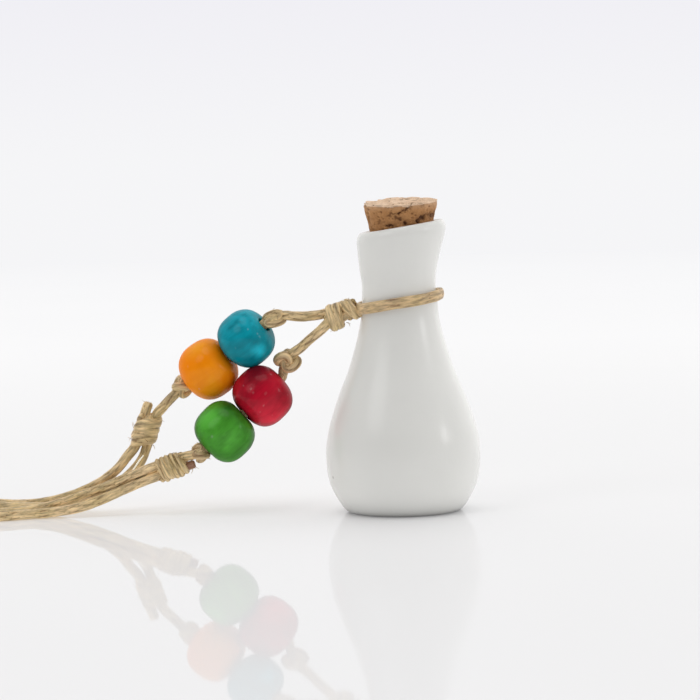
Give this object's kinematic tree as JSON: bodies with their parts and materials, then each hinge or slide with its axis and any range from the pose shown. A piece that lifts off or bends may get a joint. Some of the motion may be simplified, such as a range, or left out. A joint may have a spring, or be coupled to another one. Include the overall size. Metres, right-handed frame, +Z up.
{
  "type": "bottle pendant necklace",
  "caption": "Small corked ceramic bottle pendant with stained wooden beads on an adjustable waxed cord necklace.",
  "frame": {"origin": "middle of the bottle's flat foot, on the table", "axes": "+Z up along the bottle, +X to the right in the picture, away from the necklace, +Y away from the viewer"},
  "size_m": [0.2047, 0.0635, 0.0448],
  "materials": {
    "glaze": "gloss",
    "cork": "matte",
    "cord": "waxed",
    "blue_wood": "satin lacquer",
    "orange_wood": "satin lacquer",
    "red_wood": "satin lacquer",
    "green_wood": "satin lacquer"
  },
  "bodies": {
    "pendant": {"bottle": "glaze", "neck_loop": "cord", "neck_knot": "cord", "upper_strand": "cord", "lower_strand": "cord", "blue_knot": "cord", "orange_knot": "cord", "red_knot": "cord", "green_knot": "cord", "blue_bead": "blue_wood", "orange_bead": "orange_wood", "red_bead": "red_wood", "green_bead": "green_wood", "upper_sliding_knot": "cord", "lower_sliding_knot": "cord", "necklace_cord_one": "cord", "necklace_cord_two": "cord"},
    "cork": {"cork": "cork"}
  },
  "joints": [
    {"name": "cork_pull", "type": "slide", "parent": "pendant", "child": "cork", "axis": [0, 0, 1], "range_m": [0, 0.015]}
  ]
}
